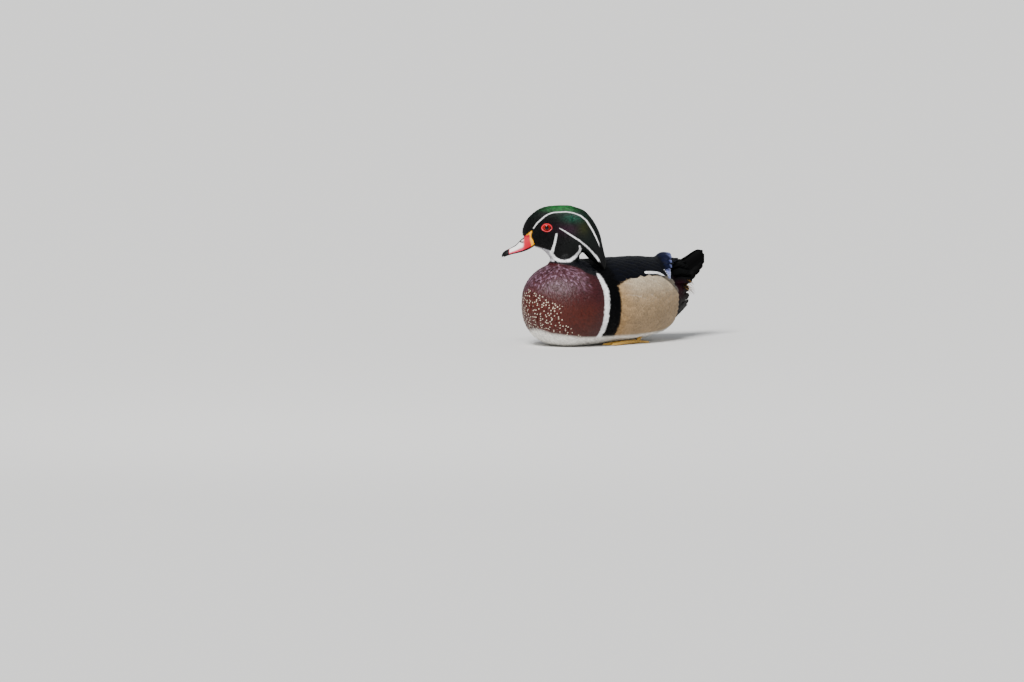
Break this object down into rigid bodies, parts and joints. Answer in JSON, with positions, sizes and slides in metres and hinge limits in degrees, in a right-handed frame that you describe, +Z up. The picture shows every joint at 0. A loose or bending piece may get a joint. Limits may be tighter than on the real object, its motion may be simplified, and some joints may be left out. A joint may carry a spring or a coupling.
{
  "type": "wood duck, male in breeding plumage",
  "caption": "Life-size still model of a drake wood duck afloat, head turned to its right, with a hanging crest, folded wings and a raised closed tail.",
  "frame": {"origin": "centre of the flat underside of the belly, on the floor, under the front of the back", "axes": "+Z up, the bird faces -Y and its left side is +X; the tail points to +Y"},
  "size_m": [0.1222, 0.2873, 0.1778],
  "materials": {
    "head_plumage": "glossy, iridescent green and purple",
    "breast_plumage": "satin, maroon with white flecks",
    "black_plumage": "satin",
    "wing_plumage": "satin, blue gloss",
    "flank_plumage": "matte, fine dark vermiculation",
    "tail_plumage": "satin",
    "bill": "satin horn, red base, white sides, black nail",
    "bill_black": "satin horn",
    "eye": "gloss",
    "orbital_skin": "satin skin",
    "foot_skin": "scaly skin"
  },
  "bodies": {
    "root": {"head": "head_plumage", "crest": "head_plumage", "bill_upper": "bill", "bill_lower": "bill_black", "eye_l": "eye", "eye_r": "eye", "eyelid_l": "orbital_skin", "eyelid_r": "orbital_skin", "neck": "breast_plumage", "breast": "breast_plumage", "torso": "black_plumage", "tail": "tail_plumage", "wing_l": "wing_plumage", "wing_r": "wing_plumage", "flank_l": "flank_plumage", "flank_r": "flank_plumage", "foot_l": "foot_skin", "foot_r": "foot_skin"}
  },
  "joints": []
}
